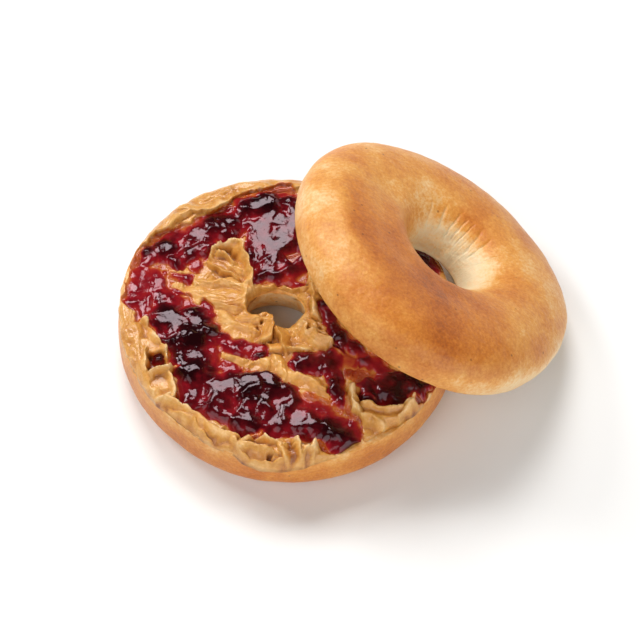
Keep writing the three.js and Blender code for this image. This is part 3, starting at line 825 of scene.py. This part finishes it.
def jam_skin(spot, level, bed):
    """The closed skin of the jam on its grid: a cell is kept where any corner is above the peanut butter, or
    within a margin below it, and where two kept cells would meet only at a corner a third joins them. The top
    follows the jam's level, the underside lies a little inside the peanut butter, and a wall of four-cornered
    faces joins the two along every side of a kept cell that has no neighbour."""
    near = level - bed > -JAM_MARGIN
    ahead = np.roll(near, -1, 0)
    keep = near[:, :-1] | near[:, 1:] | ahead[:, :-1] | ahead[:, 1:]
    for _ in range(3):
        ahead = np.roll(keep, -1, 0)
        rising = keep[:, :-1] & ahead[:, 1:] & ~keep[:, 1:] & ~ahead[:, :-1]
        falling = keep[:, 1:] & ahead[:, :-1] & ~keep[:, :-1] & ~ahead[:, 1:]
        keep[:, 1:] |= rising
        keep[:, :-1] |= falling
    index = np.arange(level.size).reshape(level.shape)
    forward = np.roll(index, -1, 0)
    corners = np.stack([index[:, :-1], forward[:, :-1], forward[:, 1:], index[:, 1:]], -1)
    under = level.size
    open_sides = [
        keep & ~np.pad(keep, ((0, 0), (1, 0)))[:, :-1],
        keep & ~np.roll(keep, -1, 0),
        keep & ~np.pad(keep, ((0, 0), (0, 1)))[:, 1:],
        keep & ~np.roll(keep, 1, 0),
    ]
    faces = [corners[keep][:, ::-1], corners[keep] + under]
    for side, bare in enumerate(open_sides):
        first, second = corners[bare][:, side], corners[bare][:, (side + 1) % 4]
        faces.append(np.stack([first, second, second + under, first + under], -1))
    lowest = np.minimum(level, bed) - JAM_SUNK
    points = np.concatenate([raised(spot, height).reshape(-1, 3) for height in (level, lowest)])
    used, faces = np.unique(np.concatenate(faces), return_inverse=True)
    thickness = np.tile(np.clip(level - bed, 0, None).ravel(), 2)
    return points[used], faces.reshape(-1, 4), thickness[used]


jam_share, jam_angle = np.broadcast_arrays(
    np.linspace(*JAM_SPAN, JAM_ROWS)[None, :], once_round(JAM_AROUND)[:, None])
jam_spot = spread_spot(jam_share, jam_angle)
face_above = leaning_face(jam_spot) - LOWER_HEIGHT
droop = edge_droop(jam_share, jam_angle)
bed = np.minimum(butter_depth(jam_spot)[0] * edge_rounding(jam_share), face_above - BUTTER_GAP)
level = np.minimum(jam_level(jam_spot, bed), face_above - JAM_GAP)
jam_points, jam_faces, jam_thickness = jam_skin(jam_spot, level - droop, bed - droop)
jam = smooth_piece("grape_jam", placed(jam_points), jam_faces, {"thickness": jam_thickness})

# Grape jam: fruit jelly, clear and dark. Its colour deepens with the thickness that light has to cross, from
# orange over the peanut butter to a deep wine red, under a wet mirror skin that tints what it reflects.
jelly, tree, output = new_material("grape_jam")
place = add_node(tree, "TexCoord").outputs["Object"]
thick = add_node(tree, "Attribute", attribute_name="thickness").outputs["Fac"]
cloud = add_node(tree, "TexNoise", {"Vector": place, "Scale": 1000 / 6, "Detail": 4, "Roughness": 0.6})
strength = add_node(tree, "MapRange", {"Value": cloud.outputs["Fac"], 1: 0.3, 2: 0.7, 3: 0.12, 4: 0.42})
deep = add_node(tree, "Math", {0: thick, 1: strength.outputs[0]}, operation="MULTIPLY")
colour = add_node(tree, "ValToRGB", {"Fac": deep.outputs[0]}, stops=[
    (0.0, "#b67236"), (1.0, "#1c0103"), (0.05, "#a84a24"), (0.12, "#921f1b"), (0.25, "#7e101a"),
    (0.42, "#5a0810"), (0.62, "#3c0409"), (0.82, "#2a0205")])
ripple = add_node(tree, "TexNoise", {"Vector": place, "Scale": 1000 / 1.5, "Detail": 3, "Roughness": 0.55})
skin = add_node(tree, "Bump", {"Height": ripple.outputs["Fac"], "Strength": 0.22, "Distance": 0.0004})
shader = add_node(tree, "BsdfPrincipled", {
    "Base Color": colour.outputs["Color"], "Roughness": 0.08, "IOR": 1.45, "Normal": skin.outputs["Normal"],
    "Specular IOR Level": 0.4, "Specular Tint": (1.0, 0.8, 0.87, 1.0)})
tree.links.new(shader.outputs["BSDF"], output.inputs["Surface"])

jam.data.materials.append(jelly)
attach(jam, "root")
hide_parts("jam")


# The upper half
# The other half of the bagel, crust up. Its cut face rests on the rim of the lower half, so it leans, with
# its right edge down on the table. The crust is golden brown over the dome and stays cream in the hole, where
# the dough was drawn in: there it has stretch marks and a hollow with torn skin.

UPPER_HEIGHT = 18.2
UPPER_WIDEST_AT = 6.4
UPPER_CREST_RADIUS = 34.8
UPPER_HOLE_RADIUS = 12.5
UPPER_HOLE_CENTRE = np.array([1.9, 0.7])
UPPER_WAVES = [(2, 1.04, 34.5), (3, 1.27, -17.3)]
UPPER_AROUND = 800
DOME_FULLNESS = 0.56

# Stretch marks in the wall of the hole: the radius that they start at and how far out they go, and for each
# the angles of its inner and outer end in degrees, its half width and its depth
MARKS_FROM = 14.0
MARKS_LENGTH = 10.0
STRETCH_MARKS = [(49, 44, 0.5, 0.5), (40, 36, 0.4, 0.35), (31, 29, 0.35, 0.3), (12, 22, 0.5, 0.5),
                 (4, 10, 0.4, 0.3), (62, 60, 0.5, 0.4), (80, 74, 0.5, 0.3), (-12, -9, 0.4, 0.2)]

# Low forms on the dome: a valley at the back, a ridge on the left shoulder and a lip at the near side of the
# hole
VALLEY_DEPTH = 1.2
SHOULDER_HEIGHT = 0.45
LIP_HEIGHT = 2.4

# The browning of the dome, and how it changes all round and low on the side: bells with their angle and width
# in degrees, their power and how much browner or paler they make it
DOME_BROWNING = 0.6
DOME_BROWNING_BELLS = [(232, 55, 2, 0.17), (333, 45, 2, -0.18), (100, 55, 2, -0.1)]
EDGE_BROWNING_BELLS = [(212, 25, 2, 0.12), (280, 60, 2, -0.5)]

upper_angle = once_round(UPPER_AROUND)
upper_cut_radius = UPPER_RADIUS - CUT_EDGE_INSET
rim_reach, rim_rise = UPPER_RADIUS - UPPER_CREST_RADIUS, UPPER_HEIGHT - UPPER_WIDEST_AT
hole_reach = UPPER_CREST_RADIUS - UPPER_HOLE_RADIUS
upper_profile = np.concatenate([
    bow([(UPPER_HOLE_RADIUS, 0), (upper_cut_radius, 0)], 14),
    bow([(upper_cut_radius, 0), (UPPER_RADIUS, UPPER_WIDEST_AT / 2), (UPPER_RADIUS, UPPER_WIDEST_AT)], 12),
    bow([(UPPER_RADIUS, UPPER_WIDEST_AT), (UPPER_RADIUS, UPPER_WIDEST_AT + DOME_FULLNESS * rim_rise),
         (UPPER_CREST_RADIUS + DOME_FULLNESS * rim_reach, UPPER_HEIGHT),
         (UPPER_CREST_RADIUS, UPPER_HEIGHT)], 42),
    bow([(UPPER_CREST_RADIUS, UPPER_HEIGHT), (UPPER_CREST_RADIUS - DOME_FULLNESS * hole_reach, UPPER_HEIGHT),
         (UPPER_HOLE_RADIUS, DOME_FULLNESS * UPPER_HEIGHT), (UPPER_HOLE_RADIUS, 0)], 50),
])
upper_grid = turned_half(upper_profile, upper_angle, UPPER_RADIUS, UPPER_WAVES, UPPER_HOLE_RADIUS, [],
                         UPPER_HOLE_CENTRE)
upper_radius, upper_turn = np.broadcast_arrays(upper_profile[None, :, 0], upper_angle[:, None])
upper_height = upper_grid[..., 2]
on_edge = ramp(upper_radius, upper_cut_radius - 1.2, upper_cut_radius - 0.2)
on_crust = np.maximum(ramp(upper_height, 0, 1.2), on_edge)


def drawn_hair(angle, radius, count, seed):
    """Fine streaks that run from the crest down into the hole: noise that changes fast round the axis, with
    about so many streaks to a turn, and slowly along the profile."""
    reach = count / (2 * np.pi)
    return lumps(np.stack([reach * np.cos(angle), reach * np.sin(angle), radius / 7], -1), 1.0, seed)


def dome_form(angle, width, radius, reach, power=2):
    """A low form on the dome: a bell round the axis, in degrees, times a bell along the radius."""
    return bump_at(upper_turn, angle, width, power) * np.exp(-((upper_radius - radius) / reach) ** 2)


hair = drawn_hair(upper_turn, upper_radius, 110, 61) + 0.6 * drawn_hair(upper_turn, upper_radius, 260, 62)
in_wall = 1 - ramp(upper_radius, UPPER_HOLE_RADIUS + 3.5, UPPER_HOLE_RADIUS + 10.5)
marks = np.zeros(upper_grid.shape[:2])
waver = 0.5 * lumps(upper_grid, 3, 63)
fade = ramp(upper_radius, MARKS_FROM + 0.5, MARKS_FROM + 2)
fade = fade * (1 - ramp(upper_radius, MARKS_FROM + 7, MARKS_FROM + MARKS_LENGTH))
for inner_end, outer_end, half_width, sunk in STRETCH_MARKS:
    mark_angle = inner_end + (outer_end - inner_end) * (upper_radius - MARKS_FROM) / MARKS_LENGTH
    off = ((np.degrees(upper_turn) - mark_angle + 180) % 360 - 180) * np.pi / 180 * upper_radius
    marks = np.maximum(marks, sunk * np.exp(-((off + waver) / half_width) ** 2) * fade)
torn = np.degrees(upper_turn) + 9 * lumps(upper_grid, 4, 64)
hollow = ramp(torn, 26, 40) * (1 - ramp(torn, 70, 96)) * (
    1 - ramp(upper_radius + 0.6 * hair + 1.2 * lumps(upper_grid, 3, 65), 14, 17))

# The dome has shallow dents, a valley at the back, a ridge on the left shoulder and a raised lip at the near
# side of the hole. The cut face under it is open crumb.
upper_dents = layered(upper_grid, [(0.5, 30), (0.22, 11), (0.1, 3.2)], 51)
valley = dome_form(122, 14, 30, 9)
shoulder = dome_form(165, 32, 45, 2.6) * ramp(upper_height, 9, 12)
near_lip = dome_form(192, 80, 21, 5.5, 4)
crust_relief = (upper_dents - VALLEY_DEPTH * valley + SHOULDER_HEIGHT * shoulder + LIP_HEIGHT * near_lip
                - 1.1 * marks - 0.6 * hollow + 0.08 * in_wall * hair)
crumb = 0.5 * np.minimum(0, lumps(upper_grid, 2.4, 54) + 0.2) * ramp(UPPER_RADIUS - upper_radius, 1.5, 3)
upper_relief = on_crust * crust_relief + (1 - on_crust) * crumb
upper_local = upper_grid + outward(upper_grid) * upper_relief[..., None]

# Browner at the front; paler at the far rim, on the edge on the table and in the wall of the hole. The left
# shoulder is painted paler, a painted sheen of light, and the left part of the hole's wall is painted darker,
# a painted shade.
low_down = 1 - ramp(upper_height, 5, 16)
# Painted sheen: the left shoulder is painted paler where light glances off it.
shoulder_painted_sheen = bump_at(upper_turn, 175, 38) * ramp(upper_radius, 40, 48)
edge_browning = with_bells(0, upper_turn, EDGE_BROWNING_BELLS)
dome_browning_and_sheen = with_bells(DOME_BROWNING, upper_turn, DOME_BROWNING_BELLS)
dome_browning_and_sheen = (dome_browning_and_sheen - 0.24 * shoulder_painted_sheen + edge_browning * low_down
                 + layered(upper_grid, [(0.15, 15), (0.12, 40)], 55))
# Painted shade: the left part of the hole's wall is painted darker; the stretch marks are paler.
wall_painted_shade_and_marks = 0.42 * bump_at(upper_turn, 130, 36) * in_wall - 0.3 * marks
from_hole = upper_radius + 0.6 * hair - UPPER_HOLE_RADIUS
upper_browning_and_painted_light = dome_browning_and_sheen * ramp(from_hole, 0, 11) + wall_painted_shade_and_marks
upper_browning_and_painted_light = np.maximum(upper_browning_and_painted_light, 0.14 * hollow) * on_crust

turn = np.array(Matrix.Rotation(UPPER_HEADING, 3, "Z") @ Matrix.Rotation(UPPER_LEAN, 3, "Y"))
upper_turned = upper_local @ turn.T
upper_turned = upper_turned + [UPPER_CENTRE[0], UPPER_CENTRE[1], -upper_turned[..., 2].min()]
bagel_top = smooth_piece(
    "bagel_top_crust", placed(upper_turned.reshape(-1, 3)), closed_quads(*upper_grid.shape[:2]),
    {"browning_and_painted_light": upper_browning_and_painted_light})
bagel_top.data.materials.append(crust)
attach(bagel_top, "root")
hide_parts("bagel_top")


# The table, the light and the camera
# A pale matt surface in a dim room, with a softbox high behind, a smaller one at the left and wide fills from
# the front and the right. The camera looks down on the sandwich from the front.

TABLE_SIZE = 6.0
ROOM_LIGHT = 0.07

table_mesh = bpy.data.meshes.new("table")
table_corners = [(x * TABLE_SIZE / 2, y * TABLE_SIZE / 2, 0) for x, y in ((-1, -1), (1, -1), (1, 1), (-1, 1))]
table_mesh.from_pydata(table_corners, [], [(0, 1, 2, 3)])
table = bpy.data.objects.new("table", table_mesh)
bpy.context.scene.collection.objects.link(table)
paint, tree, output = new_material("matt_white_table")
shader = add_node(tree, "BsdfPrincipled", {"Base Color": linear("#f4f3f1"), "Roughness": 0.7})
tree.links.new(shader.outputs["BSDF"], output.inputs["Surface"])
table_mesh.materials.append(paint)

world = bpy.data.worlds.new("dim_surround")
bpy.context.scene.world = world
world.use_nodes = True
surround = world.node_tree.nodes["Background"]
surround.inputs["Color"].default_value = (1.0, 1.0, 1.0, 1.0)
surround.inputs["Strength"].default_value = ROOM_LIGHT


def soft_light(name, place, aim, width, power):
    """A square light of a width in metres at a place, turned to face the aim."""
    lamp = bpy.data.lights.new(name, "AREA")
    lamp.size = width
    lamp.energy = power
    light = bpy.data.objects.new(name, lamp)
    light.location = place
    light.rotation_euler = (Vector(aim) - Vector(place)).to_track_quat("-Z", "Y").to_euler()
    bpy.context.scene.collection.objects.link(light)


soft_light("softbox_behind", (-0.25, 0.88, 1.32), (0, 0, 0), 0.72, 18.0)
soft_light("softbox_left", (-1.1, 0.65, 1.0), (0, 0, 0), 0.5, 11.0)
soft_light("fill_front", (-0.8, -1.15, 1.25), (0, 0, 0), 1.4, 15.0)
soft_light("fill_right", (1.1, -1.3, 0.6), (0, 0, 0.01), 1.3, 15.0)
soft_light("fill_behind_right", (1.1, 1.0, 0.8), (0, 0, 0), 0.9, 3.2)

CAMERA_TARGET = np.array([11.63, 11.35, 0.0])
CAMERA_ELEVATION = np.radians(57)
CAMERA_ROLL = np.radians(3)
CAMERA_DISTANCE = 0.7
PIXELS_PER_MM = 2.75
IMAGE_PIXELS = 640
SENSOR = 36.0

back = Vector((0, -np.cos(CAMERA_ELEVATION), np.sin(CAMERA_ELEVATION)))
level_right = Vector((1, 0, 0))
level_up = Vector((0, np.sin(CAMERA_ELEVATION), np.cos(CAMERA_ELEVATION)))
right = np.cos(CAMERA_ROLL) * level_right + np.sin(CAMERA_ROLL) * level_up
up = np.cos(CAMERA_ROLL) * level_up - np.sin(CAMERA_ROLL) * level_right
lens = bpy.data.cameras.new("camera")
lens.sensor_width = SENSOR
lens.lens = PIXELS_PER_MM * CAMERA_DISTANCE * 1000 / IMAGE_PIXELS * SENSOR
camera = bpy.data.objects.new("camera", lens)
where = Vector(placed(CAMERA_TARGET)) + CAMERA_DISTANCE * back
camera.matrix_world = Matrix.Translation(where) @ Matrix((right, up, back)).transposed().to_4x4()
bpy.context.scene.collection.objects.link(camera)
bpy.context.scene.camera = camera
bpy.context.scene.view_settings.view_transform = "Standard"
